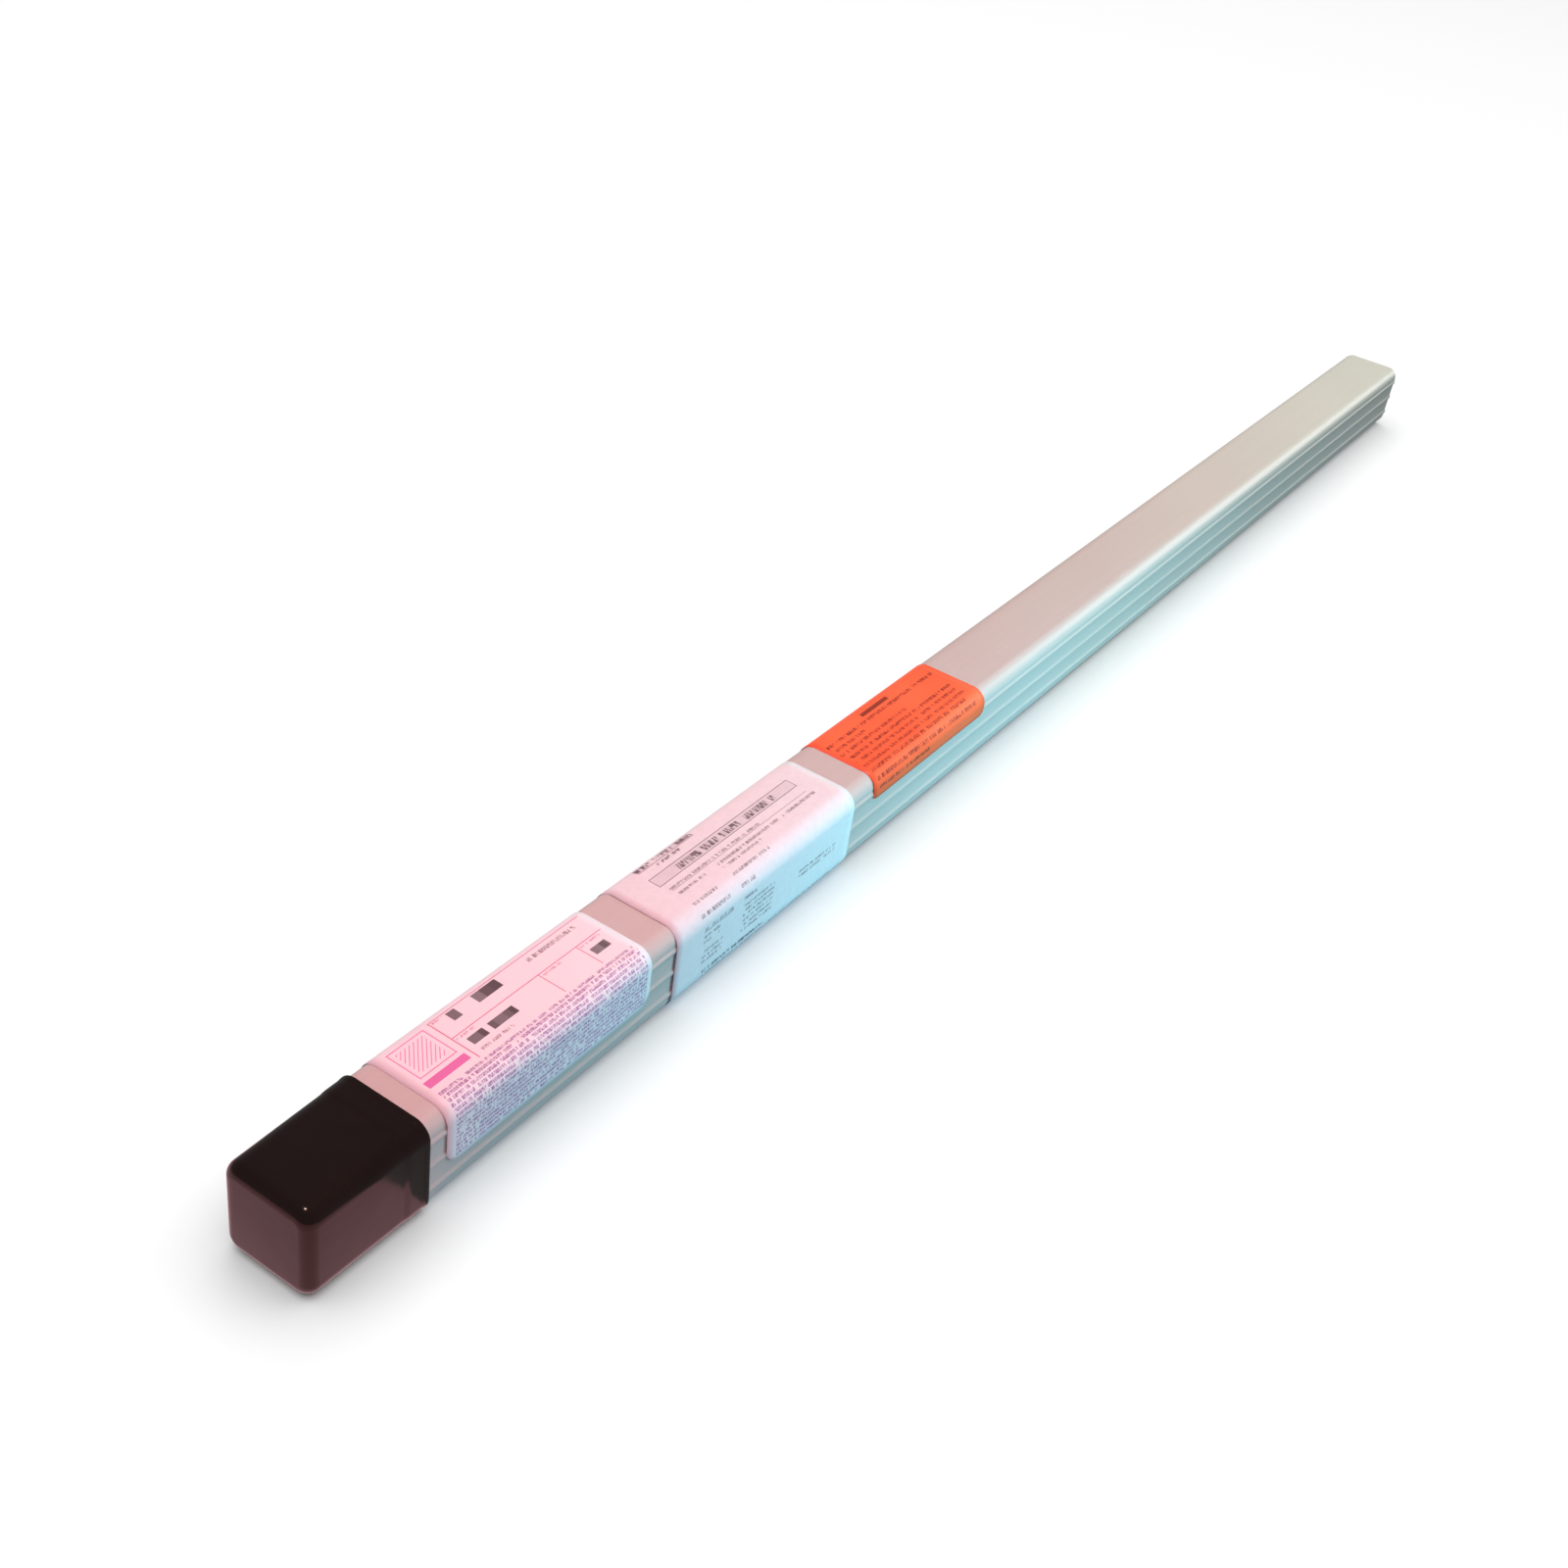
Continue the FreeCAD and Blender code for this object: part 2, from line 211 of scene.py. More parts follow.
def moulded_plug():
    r = Recipe("moulded_plug")
    grain = r.noise(1200, detail=3)
    cloud = r.noise(60, detail=2)
    tint = r.blend(r.spread(cloud, 0.3, 0.7), (0.60, 0.61, 0.59), (0.66, 0.665, 0.645))
    return r.finish(
        colour=tint,
        roughness=r.spread(grain, 0.3, 0.7, 0.38, 0.5),
        normal=r.bump(grain, 0.00006, 0.4),
    )


def drawn_steel():
    r = Recipe("drawn_steel")
    streaks = r.noise(2200, stretch=(0.006, 1, 1), detail=3)
    patches = r.noise(14, stretch=(0.4, 1, 1), detail=3)
    tint = r.blend(r.spread(streaks, 0.3, 0.7), (0.42, 0.41, 0.40), (0.60, 0.59, 0.57))
    tint = r.blend(r.spread(patches, 0.45, 0.75, 0.0, 0.35), tint, (0.36, 0.34, 0.32))
    return r.finish(
        colour=tint,
        metallic=1.0,
        roughness=r.spread(streaks, 0.3, 0.7, 0.24, 0.38),
        normal=r.bump(streaks, 0.00003, 0.4),
    )


def keep(name, bm, material, body, replaces, sharp=35):
    """Makes a mesh object of a bmesh, shades it, and hangs it on its body in a CAD node's place."""
    mesh = bpy.data.meshes.new(name)
    bm.to_mesh(mesh)
    bm.free()
    mesh.shade_smooth()
    mesh.set_sharp_from_angle(angle=math.radians(sharp))
    piece = bpy.data.objects.new(name, mesh)
    bpy.context.scene.collection.objects.link(piece)
    mesh.materials.append(material)
    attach(piece, body)
    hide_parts(replaces)
    return piece


def polygon(bm, corners, x):
    """A flat face across the tube from (y, z) corners about its axis. Returns its vertices."""
    verts = [bm.verts.new((x, y, AXIS_HEIGHT + z)) for y, z in corners]
    bm.faces.new(verts)
    return verts


def round_corners(bm, verts, radius, segments):
    bmesh.ops.bevel(
        bm,
        geom=verts,
        offset=radius,
        offset_type="OFFSET",
        segments=segments,
        profile=0.5,
        affect="VERTICES",
        material=-1,
    )


def ribbed_side(side):
    """The corners of the ribs down one side wall, from the top one to the lowest."""
    outer = side * HALF_WIDTH
    sunk = side * (HALF_WIDTH - RIB_HEIGHT)
    corners = []
    for rib in (1, 0, -1):
        centre = rib * RIB_PITCH
        corners += [
            (sunk, centre + RIB_FOOT / 2),
            (outer, centre + RIB_CREST / 2),
            (outer, centre - RIB_CREST / 2),
            (sunk, centre - RIB_FOOT / 2),
        ]
    return corners


def make_tube():
    """The ribbed square extrusion, open at both ends."""
    bm = bmesh.new()
    front = ribbed_side(-1)
    back = [(-y, z) for y, z in reversed(front)]
    sunk = HALF_WIDTH - RIB_HEIGHT
    outline = [(-sunk, HALF_HEIGHT)] + front + [(-sunk, -HALF_HEIGHT)]
    outline += [(sunk, -HALF_HEIGHT)] + back + [(sunk, HALF_HEIGHT)]
    verts = polygon(bm, outline, TUBE_START)
    corners = [verts[0], verts[len(front) + 1], verts[len(front) + 2], verts[-1]]
    round_corners(bm, [v for v in verts if v not in corners], SOFT_EDGE, 4)
    corners = [
        v
        for v in bm.verts
        if abs(abs(v.co.y) - sunk) < 1e-6
        and abs(abs(v.co.z - AXIS_HEIGHT) - HALF_HEIGHT) < 1e-6
    ]
    round_corners(bm, corners, TUBE_CORNER, 16)
    outer_loop = list(bm.edges)
    bmesh.ops.delete(bm, geom=list(bm.faces), context="FACES_ONLY")

    inner_wide = sunk - SIDE_WALL
    inner_tall = HALF_HEIGHT - FLAT_WALL
    known = set(bm.verts)
    inner = polygon(
        bm,
        [
            (-inner_wide, inner_tall),
            (-inner_wide, -inner_tall),
            (inner_wide, -inner_tall),
            (inner_wide, inner_tall),
        ],
        TUBE_START,
    )
    round_corners(bm, inner, CAVITY_CORNER, 8)
    inner_loop = [e for e in bm.edges if not (set(e.verts) & known)]
    bmesh.ops.delete(bm, geom=list(bm.faces), context="FACES_ONLY")

    ring = outer_loop + inner_loop
    bmesh.ops.triangle_fill(bm, use_beauty=True, use_dissolve=False, edges=ring)
    pushed = bmesh.ops.extrude_face_region(bm, geom=list(bm.faces), use_keep_orig=True)
    moved = [g for g in pushed["geom"] if isinstance(g, bmesh.types.BMVert)]
    bmesh.ops.translate(bm, verts=moved, vec=(TUBE_END - TUBE_START, 0, 0))
    bmesh.ops.remove_doubles(bm, verts=list(bm.verts), dist=1e-7)
    bmesh.ops.recalc_face_normals(bm, faces=list(bm.faces))
    return keep("tube_shell", bm, extruded_plastic(), "pack", "tube")


def cap_sections():
    """Places along the cap, from its closed end to its mouth and back inside, each with the half
    width and the corner radius of its section there."""
    neck = cap_high.x - cap_low.x - CAP_COLLAR
    mouth = cap_high.x - cap_low.x
    step = neck - 3.0 * MM
    flare = mouth - 3.0 * MM

    def slack_half(along):
        return CAP_END_HALF + (CAP_NECK_HALF - CAP_END_HALF) * along / step

    def eased(begin, length, low, high):
        """Places and half widths of a soft S from one size to another."""
        for n in range(1, 9):
            share = n / 8
            yield begin + length * share, low + (high - low) * share * share * (3 - 2 * share)

    sections = []
    for n in range(13):
        turn = math.radians(90 * n / 12)
        along = CAP_END_RADIUS * (1 - math.cos(turn))
        inset = CAP_END_RADIUS * (1 - math.sin(turn))
        sections.append((along, slack_half(along) - inset, TUBE_CORNER - inset))
    for n in range(1, 9):
        along = CAP_END_RADIUS + (step - CAP_END_RADIUS) * n / 8
        sections.append((along, slack_half(along), TUBE_CORNER))
    # The soft step where the tube ends inside, and the flare and rolled lip of the mouth
    for along, half in eased(step, CAP_STEP_LENGTH, CAP_NECK_HALF, CAP_COLLAR_HALF):
        sections.append((along, half, TUBE_CORNER + half - CAP_NECK_HALF))
    lip_start = mouth - CAP_LIP
    for along, half in eased(flare, CAP_FLARE_LENGTH, CAP_COLLAR_HALF, CAP_MOUTH_HALF):
        sections.append((along, half, TUBE_CORNER + half - CAP_NECK_HALF))
    mouth_corner = TUBE_CORNER + CAP_MOUTH_HALF - CAP_NECK_HALF
    for n in range(7):
        turn = math.radians(180 * n / 6)
        inset = CAP_LIP * (1 - math.cos(turn))
        along = lip_start + CAP_LIP * math.sin(turn)
        sections.append((along, CAP_MOUTH_HALF - inset, mouth_corner - inset))
    sections.append((flare, CAP_BORE_HALF, TUBE_CORNER))
    sections.append((neck + 0.5 * MM, CAP_BORE_HALF, TUBE_CORNER))
    hollow_corner = TUBE_CORNER - 0.8 * MM
    sections.append((neck + 0.5 * MM, CAP_HOLLOW_HALF, hollow_corner))
    for n in range(9):
        turn = math.radians(90 * n / 8)
        along = CAP_FLOOR + CAP_INNER_RADIUS * (1 - math.sin(turn))
        inset = CAP_INNER_RADIUS * (1 - math.cos(turn))
        sections.append((along, CAP_HOLLOW_HALF - inset, hollow_corner - inset))
    return sections


def make_cap():
    """The dipped vinyl cap: round all over at its closed end, with a soft lip at its mouth."""
    bm = bmesh.new()
    rings = []
    for along, half, corner in cap_sections():
        ring = []
        for side_y, side_z, begin in ((1, 1, 0), (-1, 1, 90), (-1, -1, 180), (1, -1, 270)):
            for n in range(13):
                angle = math.radians(begin + 90 * n / 12)
                y = side_y * (half - corner) + corner * math.cos(angle)
                z = side_z * (half - corner) + corner * math.sin(angle)
                ring.append(bm.verts.new((cap_low.x + along, y, AXIS_HEIGHT + z)))
        rings.append(ring)
    for ring, following in zip(rings, rings[1:]):
        for n in range(len(ring)):
            beside = (n + 1) % len(ring)
            bm.faces.new((ring[n], ring[beside], following[beside], following[n]))
    bm.faces.new(reversed(rings[0]))
    bm.faces.new(rings[-1])
    bmesh.ops.recalc_face_normals(bm, faces=list(bm.faces))
    return keep("cap_shell", bm, black_vinyl(), "cap", "end_cap", sharp=50)


def word_bars():
    """A node group whose mask is lines of plain bars inside one box. Broken cuts them into
    strokes at random."""
    group = bpy.data.node_groups.new("word_bars", "ShaderNodeTree")
    names = ("Left", "Right", "Top", "Bottom", "Pitch", "Fill", "Letter", "Seed", "Broken")
    group.interface.new_socket("Flat", in_out="INPUT", socket_type="NodeSocketVector")
    for name in names:
        group.interface.new_socket(name, in_out="INPUT", socket_type="NodeSocketFloat")
    group.interface.new_socket("Mask", in_out="OUTPUT", socket_type="NodeSocketFloat")
    given = group.nodes.new("NodeGroupInput").outputs
    result = group.nodes.new("NodeGroupOutput").inputs["Mask"]

    def sum(operation, first, second=None):
        made = group.nodes.new("ShaderNodeMath")
        made.operation = operation
        for socket, value in zip(made.inputs, (first, second)):
            if isinstance(value, bpy.types.NodeSocket):
                group.links.new(value, socket)
            elif value is not None:
                socket.default_value = value
        return made.outputs[0]

    def chance(across, down):
        """A random number that is the same all over one cell."""
        place = group.nodes.new("ShaderNodeCombineXYZ")
        group.links.new(across, place.inputs["X"])
        group.links.new(down, place.inputs["Y"])
        group.links.new(given["Seed"], place.inputs["Z"])
        noise = group.nodes.new("ShaderNodeTexWhiteNoise")
        noise.noise_dimensions = "3D"
        group.links.new(place.outputs[0], noise.inputs["Vector"])
        return noise.outputs["Value"]

    parts = group.nodes.new("ShaderNodeSeparateXYZ")
    group.links.new(given["Flat"], parts.inputs[0])
    across, down = parts.outputs["X"], parts.outputs["Y"]
    lines = sum("DIVIDE", sum("SUBTRACT", down, given["Top"]), given["Pitch"])
    line = sum("FLOOR", lines)
    height = sum("DIVIDE", sum("SUBTRACT", lines, line), given["Fill"])
    letters = sum("DIVIDE", sum("SUBTRACT", across, given["Left"]), given["Letter"])
    letter = sum("FLOOR", letters)
    cell = chance(letter, line)
    stroke = sum("FLOOR", sum("MULTIPLY", letters, 3.0))
    stroke_row = sum("ADD", sum("FLOOR", sum("MULTIPLY", height, 2.0)), sum("MULTIPLY", line, 3.0))
    gap = sum("LESS_THAN", chance(stroke, stroke_row), 0.42)
    tests = [
        sum("GREATER_THAN", across, given["Left"]),
        sum("LESS_THAN", across, given["Right"]),
        sum("GREATER_THAN", down, given["Top"]),
        sum("LESS_THAN", down, given["Bottom"]),
        sum("LESS_THAN", height, 1.0),
        sum("GREATER_THAN", cell, 0.16),
        sum("ADD", 0.75, sum("MULTIPLY", cell, 0.25)),
        sum("SUBTRACT", 1.0, sum("MULTIPLY", gap, given["Broken"])),
    ]
    mask = tests[0]
    for test in tests[1:]:
        mask = sum("MULTIPLY", mask, test)
    group.links.new(mask, result)
    return group


class Print:
    """The ink on one label. Places are in millimetres on the label laid flat:
    across from its end nearest the cap, and down from the middle of the tube's top."""

    def __init__(self, recipe, group):
        self.recipe = recipe
        self.group = group
        self.flat = recipe.node("ShaderNodeAttribute", attribute_name="laid_flat").outputs["Vector"]
        parts = recipe.node("ShaderNodeSeparateXYZ")
        recipe.feed(parts.inputs[0], self.flat)
        self.across, self.down = parts.outputs["X"], parts.outputs["Y"]
        self.seed = 1.0

    def words(self, left, right, top, bottom, letter, pitch=None, fill=1.0, broken=0.8):
        made = self.recipe.node("ShaderNodeGroup")
        made.node_tree = self.group
        self.seed += 1.0
        self.recipe.feed(made.inputs["Flat"], self.flat)
        for name, value in (
            ("Left", left),
            ("Right", right),
            ("Top", top),
            ("Bottom", bottom),
            ("Pitch", pitch or bottom - top),
            ("Fill", fill),
            ("Letter", letter),
            ("Seed", self.seed),
            ("Broken", broken),
        ):
            made.inputs[name].default_value = value
        return made.outputs["Mask"]

    def field(self, left, right, top, bottom):
        """A plain filled rectangle, such as a ruled line."""
        sum = self.recipe.sum
        wide = sum("COMPARE", self.across, (left + right) / 2, (right - left) / 2)
        tall = sum("COMPARE", self.down, (top + bottom) / 2, (bottom - top) / 2)
        return sum("MULTIPLY", wide, tall)

    def hatching(self, left, right, top, bottom, pitch, width):
        """Thin slanting lines inside one box."""
        sum = self.recipe.sum
        slant = sum("MODULO", sum("ADD", self.across, sum("ADD", self.down, 100.0)), pitch)
        return sum("MULTIPLY", sum("LESS_THAN", slant, width), self.field(left, right, top, bottom))

    def together(self, masks):
        total = masks[0]
        for mask in masks[1:]:
            total = self.recipe.sum("MAXIMUM", total, mask)
        return total


def product_label_finish(group):
    """Satin film, nearly white. Magenta rules, a hatched frame, fine strokes and dark bars."""
    r = Recipe("label_film")
    ink = Print(r, group)
    rules = ink.together(
        [
            ink.field(24.2, 24.7, -13.4, 9.0),
            ink.field(24.2, 99.0, -13.5, -13.1),
            ink.field(24.2, 99.0, -3.2, -2.8),
            ink.field(66.0, 66.4, -3.0, 9.0),
            ink.field(85.5, 85.9, -3.0, 9.0),
        ]
    )
    captions = ink.together(
        [
            ink.words(25.3, 30.0, -12.8, -11.7, 0.9),
            ink.words(25.3, 33.5, -2.2, -1.1, 0.9),
            ink.words(67.2, 76.5, -2.2, -1.1, 0.9),
            ink.words(86.6, 96.5, -2.2, -1.1, 0.9),
        ]
    )
    hatched_frame = ink.together(
        [
            ink.field(5.0, 21.5, -12.6, -12.2),
            ink.field(5.0, 21.5, 1.8, 2.2),
            ink.field(5.0, 5.4, -12.6, 2.2),
            ink.field(21.1, 21.5, -12.6, 2.2),
            ink.hatching(7.0, 19.5, -10.8, 0.4, 1.9, 0.4),
            ink.field(4.0, 22.5, 4.0, 7.2),
        ]
    )
    small = ink.together(
        [
            ink.words(4.0, 14.0, 10.2, 11.6, 1.2),
            ink.words(15.0, 99.5, 10.2, 12.0, 0.8, pitch=1.8, fill=0.66),
            ink.words(4.0, 99.5, 12.0, 36.9, 0.8, pitch=1.8, fill=0.7),
        ]
    )
    dark_bars = ink.together(
        [
            ink.words(31.5, 54.8, -12.4, -8.0, 3.9, broken=0.0),
            ink.words(27.6, 49.0, 0.3, 4.0, 2.4, broken=0.0),
            ink.words(87.8, 95.5, 1.2, 4.8, 2.2, broken=0.0),
        ]
    )
    faint = ink.together(
        [
            ink.words(69.0, 93.5, -11.2, -9.4, 1.05),
            ink.words(27.6, 44.5, 6.3, 7.6, 1.0),
        ]
    )
    base = r.blend(r.spread(r.noise(30, detail=2), 0.35, 0.65), (0.73, 0.82, 0.88), (0.76, 0.85, 0.91))
    tint = r.blend(r.sum("MULTIPLY", small, 0.8), base, (0.24, 0.07, 0.34))
    tint = r.blend(r.sum("MULTIPLY", captions, 0.6), tint, (0.50, 0.07, 0.28))
    tint = r.blend(r.sum("MULTIPLY", rules, 0.8), tint, (0.52, 0.08, 0.24))
    tint = r.blend(r.sum("MULTIPLY", hatched_frame, 0.8), tint, (0.62, 0.03, 0.38))
    tint = r.blend(r.sum("MULTIPLY", faint, 0.7), tint, (0.16, 0.06, 0.10))
    tint = r.blend(r.sum("MULTIPLY", dark_bars, 0.92), tint, (0.03, 0.012, 0.02))
    grain = r.noise(700, detail=3)
    return r.finish(
        colour=tint,
        roughness=r.spread(grain, 0.3, 0.7, 0.36, 0.46),
        normal=r.bump(r.noise(55, detail=2), 0.0004, 0.12, r.bump(grain, 0.00003, 0.3)),
    )


def data_sheet_finish(group):
    """Plain office paper with grey print in two columns."""
    r = Recipe("sheet_paper")
    ink = Print(r, group)
    strong = [
        ink.words(16.0, 49.0, -15.2, -12.6, 2.2),
        ink.field(16.0, 49.0, -12.3, -12.0),
        ink.words(25.0, 38.5, -11.3, -9.9, 1.3),
        ink.words(29.0, 90.5, -5.9, -2.8, 1.9),
        ink.field(15.4, 103.2, -7.3, -7.0),
        ink.field(15.4, 103.2, -2.1, -1.8),
        ink.field(15.4, 15.7, -7.3, -1.8),
        ink.field(102.9, 103.2, -7.3, -1.8),
        ink.words(18.0, 56.5, 43.6, 45.2, 1.15),
        ink.field(16.6, 34.5, 25.0, 25.3),
    ]
    plain = [
        ink.words(17.0, 72.5, 0.9, 2.2, 1.1),
        ink.field(17.0, 102.5, 2.5, 2.75),
        ink.words(16.0, 33.0, 4.6, 5.9, 1.1),
        ink.words(40.6, 105.0, 4.6, 6.0, 1.0),
        ink.words(40.6, 65.0, 7.2, 8.5, 1.0),
        ink.words(16.0, 30.0, 12.0, 13.3, 1.1),
        ink.words(40.0, 63.0, 12.0, 13.3, 1.1),
        ink.words(15.5, 33.0, 17.3, 18.8, 1.1),
        ink.words(40.0, 48.5, 17.3, 18.8, 1.1),
        ink.words(16.6, 34.5, 23.2, 24.7, 1.1),
        ink.words(41.0, 49.0, 23.2, 24.7, 1.1),
        ink.words(17.0, 26.5, 27.0, 31.6, 1.1, pitch=2.4, fill=0.55),
        ink.words(41.5, 61.5, 27.0, 40.9, 1.1, pitch=2.4, fill=0.55),
        ink.words(17.0, 29.5, 34.2, 40.9, 1.1, pitch=2.4, fill=0.55),
        ink.words(79.0, 104.5, 32.4, 37.0, 1.1, pitch=2.4, fill=0.55),
        ink.words(18.8, 104.0, 46.4, 49.4, 0.95, pitch=1.6, fill=0.62),
    ]
    box_field = ink.field(15.6, 103.0, -7.1, -2.0)
    fibre = r.noise(420, detail=4, roughness=0.6)
    base = r.blend(r.spread(fibre, 0.35, 0.65), (0.64, 0.72, 0.77), (0.68, 0.76, 0.81))
    tint = r.blend(r.sum("MULTIPLY", box_field, 0.16), base, (0.20, 0.18, 0.20))
    tint = r.blend(r.sum("MULTIPLY", ink.together(plain), 0.7), tint, (0.09, 0.08, 0.10))
    tint = r.blend(r.sum("MULTIPLY", ink.together(strong), 0.85), tint, (0.05, 0.03, 0.05))
    soft = r.bump(r.noise(38, detail=2), 0.0010, 0.25)
    return r.finish(colour=tint, roughness=0.86, normal=r.bump(fibre, 0.00008, 0.5, soft))


def orange_finish(group):
    """Satin orange film with dark generic print."""
    r = Recipe("orange_film")
    ink = Print(r, group)
    heading = ink.field(34.0, 54.5, -12.0, -9.9)
    lines = ink.together(
        [
            ink.words(2.8, 25.0, -8.3, -6.5, 1.35),
            ink.words(26.0, 86.0, -8.3, -6.5, 1.1),
            ink.words(4.0, 26.5, -4.8, -3.1, 1.1),
            ink.words(2.8, 19.0, -1.4, 0.3, 1.35),
            ink.words(20.0, 52.5, -1.4, 0.3, 1.1),
            ink.words(2.8, 56.0, 2.2, 3.9, 1.35),
            ink.words(57.0, 84.0, 2.2, 3.9, 1.1),
            ink.words(3.5, 83.5, 5.7, 7.4, 1.1),
            ink.words(3.5, 84.0, 9.3, 11.0, 1.1),
            ink.words(3.5, 79.0, 12.8, 14.5, 1.1),
            ink.words(3.5, 83.5, 16.8, 18.6, 1.1),
            ink.words(4.5, 43.5, 20.8, 22.5, 1.2),
        ]
    )
    base = r.blend(r.spread(r.noise(26, detail=2), 0.35, 0.65), (0.86, 0.13, 0.045), (0.92, 0.16, 0.06))
    tint = r.blend(r.sum("MULTIPLY", lines, 0.8), base, (0.12, 0.015, 0.012))
    tint = r.blend(r.sum("MULTIPLY", heading, 0.8), tint, (0.08, 0.012, 0.01))
    grain = r.noise(800, detail=3)
    return r.finish(
        colour=tint,
        roughness=r.spread(grain, 0.3, 0.7, 0.34, 0.44),
        normal=r.bump(r.noise(60, detail=2), 0.0004, 0.15, r.bump(grain, 0.00003, 0.3)),
    )


def around_tube(down, standoff, corner):
    """Where a point of a wrapped sheet lies across the tube, as (y, z).
    down is how far it is from the middle of the top, to the front if above 0."""
    side = -1 if down > 0 else 1
    left = abs(down)
    flat = HALF_WIDTH + standoff - corner
    wall = HALF_HEIGHT + standoff - corner
    arc = corner * math.pi / 2
    if left <= flat:
        y, z = left, wall + corner
    elif left <= flat + arc:
        angle = (left - flat) / corner
        y, z = flat + corner * math.sin(angle), wall + corner * math.cos(angle)
    elif left <= flat + arc + 2 * wall:
        y, z = flat + corner, wall - (left - flat - arc)
    elif left <= flat + 2 * arc + 2 * wall:
        angle = (left - flat - arc - 2 * wall) / corner
        y, z = flat + corner * math.cos(angle), -wall - corner * math.sin(angle)
    else:
        y, z = flat - (left - flat - 2 * arc - 2 * wall), -wall - corner
    return side * y, AXIS_HEIGHT + z


def slice_lines(bm, axis, places):
    """Cuts every face along straight lines across one axis of the flat sheet."""
    normal = (1, 0, 0) if axis == 0 else (0, 1, 0)
    for place in places:
        bmesh.ops.bisect_plane(
            bm,
            geom=list(bm.verts) + list(bm.edges) + list(bm.faces),
            plane_co=tuple(place * n for n in normal),
            plane_no=normal,
            dist=1e-8,
        )


def steps(low, high, size):
    count = max(1, round((high - low) / size))
    return [low + (high - low) * n / count for n in range(1, count)]


def wrapped(name, node, finish, start, end, back, front, thickness, corner, round_off=0.0,
            standoff=0.0):
    """A sheet cut flat, with round corners, and then bent round the tube. The flat places stay
    on its points in millimetres, for the print. start and end are its places along the tube, and
    back and front are how far it reaches from the middle of the top."""
    length = end - start
    bm = bmesh.new()
    corners = ((0, front, 0), (length, front, 0), (length, -back, 0), (0, -back, 0))
    verts = [bm.verts.new(corner_place) for corner_place in corners]
    bm.faces.new(verts)
    if round_off:
        round_corners(bm, verts, round_off, 8)
    arc = corner * math.pi / 2
    flat = HALF_WIDTH + standoff - corner
    wall = 2 * (HALF_HEIGHT + standoff - corner)
    bends = []
    for begin in (flat, flat + arc + wall):
        bends += [begin + arc * n / 12 for n in range(13)]
    cuts = [side * bend for bend in bends for side in (-1, 1)]
    cuts += [side * (flat + arc + wall * n / 8) for n in range(1, 8) for side in (-1, 1)]
    cuts += [flat * n / 4 for n in range(-3, 4)]
    slice_lines(bm, 1, [cut for cut in cuts if -back < cut < front])
    slice_lines(bm, 0, steps(0, length, 4 * MM))
    laid = bm.verts.layers.float_vector.new("laid_flat")
    for vert in bm.verts:
        across, down = vert.co.x, vert.co.y
        vert[laid] = (across / MM, down / MM, 0)
        vert.co = (start + across, *around_tube(down, standoff, corner))
    piece = keep(name, bm, finish, "pack", node, sharp=60)
    solid = piece.modifiers.new("thickness", "SOLIDIFY")
    solid.thickness = thickness
    solid.offset = 1.0


def make_labels():
    group = word_bars()
    label_low, label_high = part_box("product_label")
    wrapped(
        "product_film", "product_label", product_label_finish(group),
        label_low.x, label_high.x, 35.3 * MM, 38.3 * MM, FILM_THICKNESS, FILM_CORNER,
        round_off=6.0 * MM,
    )
    sticker_low, sticker_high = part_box("orange_sticker")
    wrapped(
        "orange_film", "orange_sticker", orange_finish(group),
        sticker_low.x, sticker_high.x, 25.1 * MM, 26.3 * MM, FILM_THICKNESS, FILM_CORNER,
        round_off=3.0 * MM,
    )
    sheet_low, sheet_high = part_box("data_sheet")
    wrapped(
        "paper_sleeve", "data_sheet", data_sheet_finish(group),
        sheet_low.x, sheet_high.x, 68.4 * MM, 68.4 * MM, PAPER_THICKNESS, PAPER_CORNER,
        standoff=PAPER_STANDOFF,
    )


def paint(node, material):
    """Gives a CAD node its finish."""
    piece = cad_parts[node]
    piece.data.materials.clear()
    piece.data.materials.append(material)


def area_light(name, place, target, size, power, colour, size_y=None):
    data = bpy.data.lights.new(name, "AREA")
    data.shape = "RECTANGLE"
    data.size = size
    data.size_y = size_y or size
    data.energy = power
    data.color = colour
    lamp = bpy.data.objects.new(name, data)
    bpy.context.scene.collection.objects.link(lamp)
    lamp.location = place
    lamp.rotation_mode = "QUATERNION"
    lamp.rotation_quaternion = (Vector(target) - Vector(place)).to_track_quat("-Z", "Y")
    lamp.visible_camera = False
    return lamp


def floor_glow(name, start, end, power, colour):
    """A light that lies on the floor from one x to another, and faces up."""
    middle = ((start + end) / 2, 0, 0.3 * MM)
    lamp = area_light(name, middle, (0, 0, 1), end - start, power, colour, 0.8)
    lamp.rotation_mode = "XYZ"
    lamp.rotation_euler = (math.pi, 0, 0)
    return lamp


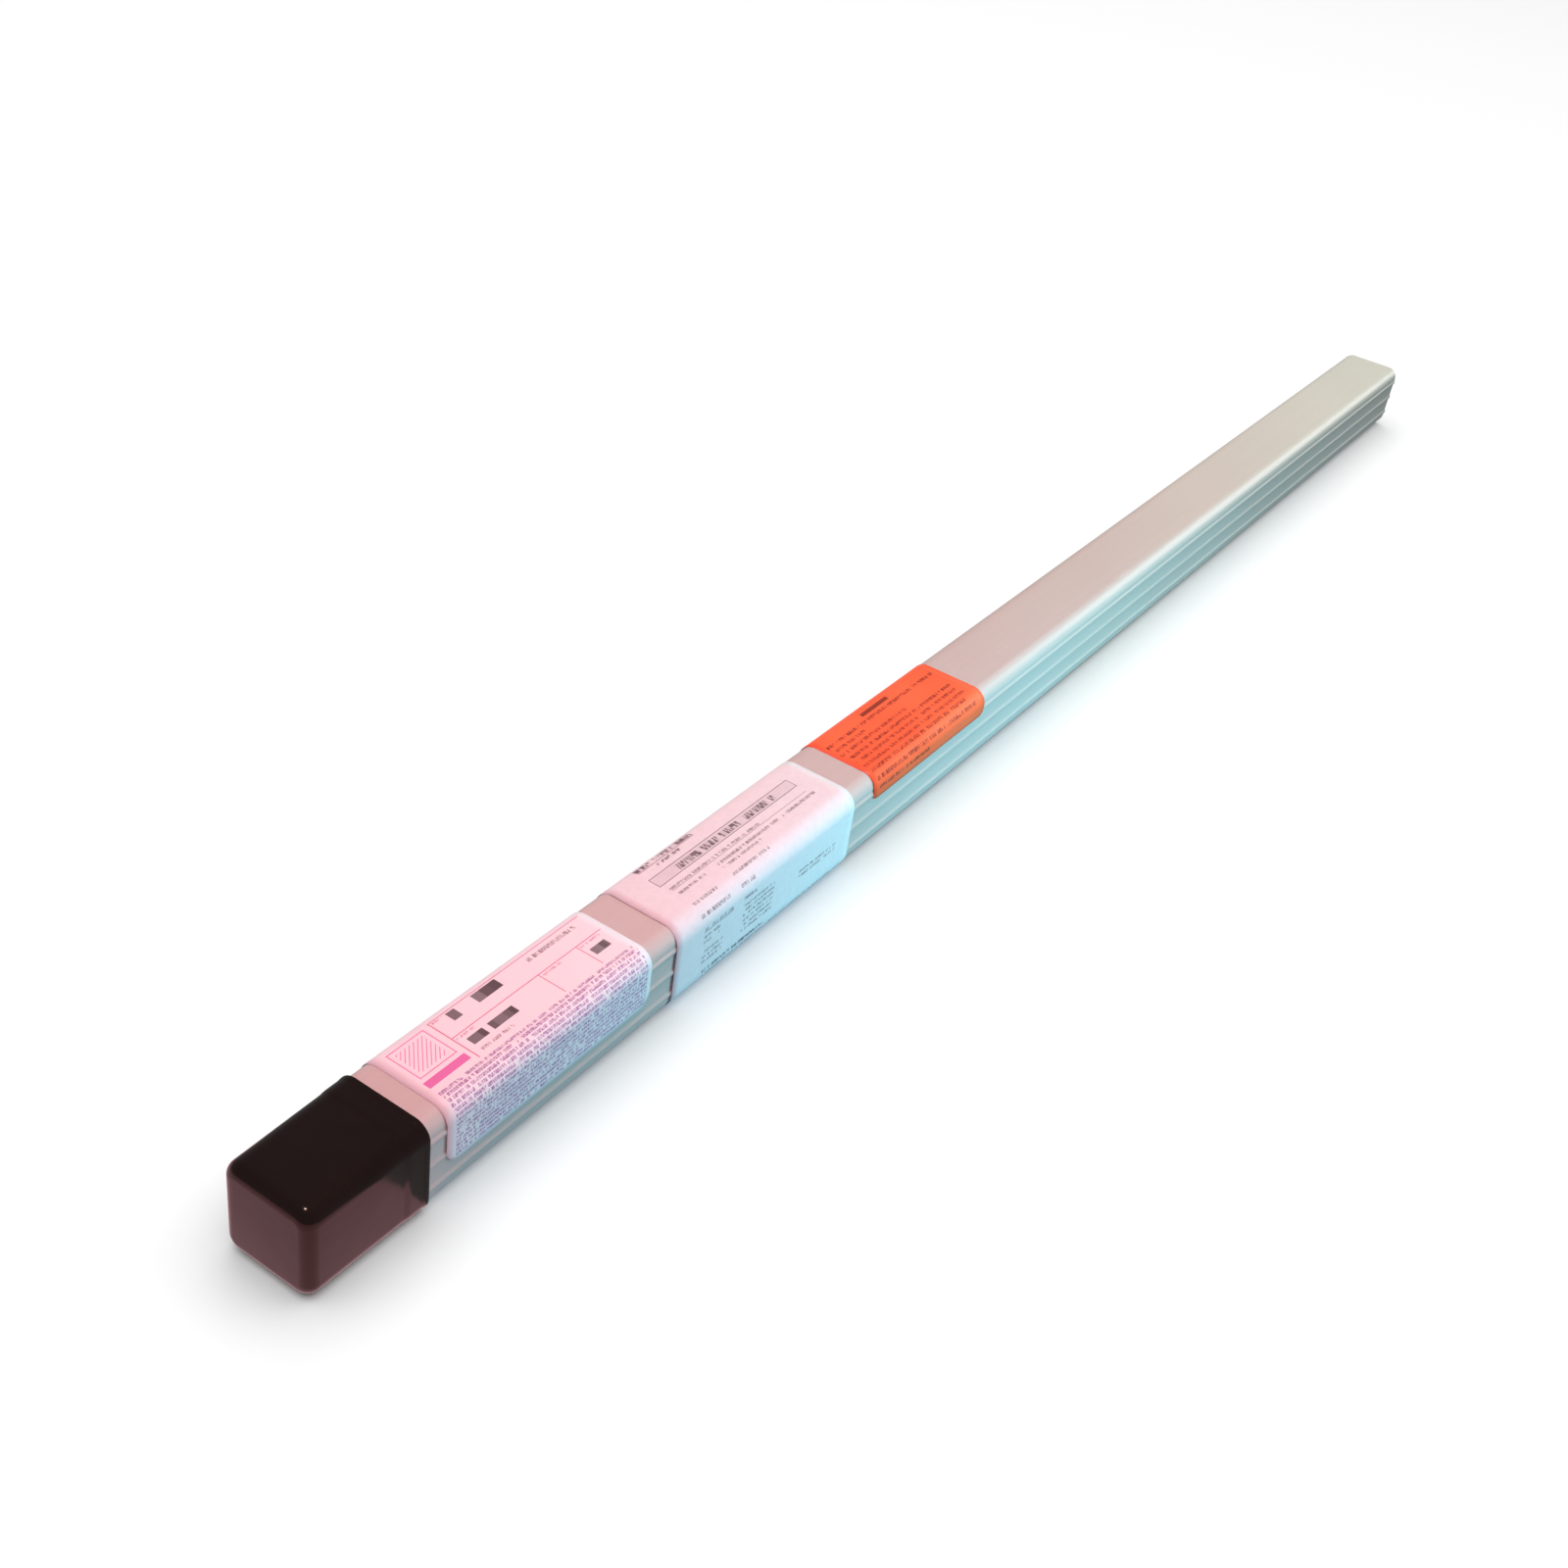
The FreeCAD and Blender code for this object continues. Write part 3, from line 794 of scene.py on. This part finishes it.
def make_stage():
    bm = bmesh.new()
    bmesh.ops.create_grid(bm, x_segments=1, y_segments=1, size=6.0)
    mesh = bpy.data.meshes.new("floor")
    bm.to_mesh(mesh)
    bm.free()
    floor = bpy.data.objects.new("floor", mesh)
    bpy.context.scene.collection.objects.link(floor)
    r = Recipe("floor_paint")
    r.finish(colour=(0.93, 0.93, 0.93), roughness=0.9)
    mesh.materials.append(r.material)

    world = bpy.data.worlds.new("studio")
    world.use_nodes = True
    background = world.node_tree.nodes["Background"]
    background.inputs["Color"].default_value = (1.0, 1.0, 1.0, 1.0)
    background.inputs["Strength"].default_value = 0.25
    bpy.context.scene.world = world

    # The coloured lights leave the floor alone, and the floor's own light leaves the pack alone.
    # What the floor throws back onto the pack comes from the glows that lie on it
    floor.visible_diffuse = False
    floor.visible_glossy = False
    off_floor = bpy.data.collections.new("off_floor")
    off_floor.objects.link(floor)
    off_floor.collection_objects[0].light_linking.link_state = "EXCLUDE"
    only_floor = bpy.data.collections.new("only_floor")
    only_floor.objects.link(floor)
    diffuse_only = [
        area_light("rose_key", (-0.42, -0.06, 0.55), (-0.38, 0, 0), 0.3, 2.66, (1.0, 0.18, 0.24)),
        area_light("pale_near", (-0.2, -0.06, 0.55), (-0.18, 0, 0), 0.3, 0.80, (0.2, 1.0, 0.9)),
        area_light("warm_mid", (0.02, -0.06, 0.55), (0.02, 0, 0), 0.3, 1.0, (1.0, 0.0, 0.0)),
        area_light("plain_far", (0.48, -0.06, 0.55), (0.44, 0, 0), 0.3, 2.88, (0.92, 1.0, 0.83)),
        area_light("cyan_side", (-0.03, -0.36, 0.09), (-0.03, 0, 0.02), 0.2, 1.65, (0.36, 0.9, 1.0)),
        area_light("back_fill", (0.0, 0.8, 0.08), (0.0, 0, 0.02), 1.0, 3.0, (1.0, 0.96, 0.94), 0.1),
        area_light("end_fill", (1.1, 0.2, 0.1), (0.47, 0, 0.02), 0.3, 1.5, (1.0, 0.98, 0.94)),
        floor_glow("blue_glow", GLOW_EDGE, 0.0, 0.18, (0.0, 0.38, 1.0)),
    ]
    for lamp in diffuse_only:
        lamp.visible_glossy = False
    glossy_only = [
        area_light("cap_glint", (-0.49, 0.02, 1.03), (-0.465, -0.014, 0.036), 0.1, 2.5, (1, 1, 1)),
        area_light("far_glance", (1.25, -0.5, 0.4), (0.2, 0, 0.03), 0.6, 3, (1, 1, 1)),
    ]
    for lamp in glossy_only:
        lamp.visible_diffuse = False
    rose_glow = floor_glow("rose_glow", -0.8, GLOW_EDGE, 0.70, (1.0, 0.46, 0.55))
    for lamp in diffuse_only + glossy_only + [rose_glow]:
        lamp.light_linking.receiver_collection = off_floor
    wash = area_light("floor_wash", (0, 0, 5.0), (0, 0, 0), 8.0, 400, (1.0, 1.0, 1.0))
    wash.light_linking.receiver_collection = only_floor


def make_camera():
    """The camera of the photograph, from its fit to the tube's corners and labels."""
    data = bpy.data.cameras.new("camera")
    data.sensor_width = 36.0
    data.lens = 43.08
    camera = bpy.data.objects.new("camera", data)
    bpy.context.scene.collection.objects.link(camera)
    right = Vector((0.5609, -0.8176, 0.1302)).normalized()
    forward = Vector((0.7176, 0.4017, -0.5688)).normalized()
    up = right.cross(forward).normalized()
    right = forward.cross(up).normalized()
    turn = Matrix((right, up, -forward)).transposed().to_4x4()
    camera.matrix_world = Matrix.Translation((-0.72115, -0.2878, 0.4536)) @ turn
    data.clip_start = 0.01
    data.clip_end = 50
    bpy.context.scene.camera = camera


make_camera()
make_stage()
make_tube()
make_cap()
make_labels()
paint("end_plug", moulded_plug())
steel = drawn_steel()
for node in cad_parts:
    if node.startswith("rod_"):
        paint(node, steel)

bpy.context.scene.view_settings.view_transform = "Standard"
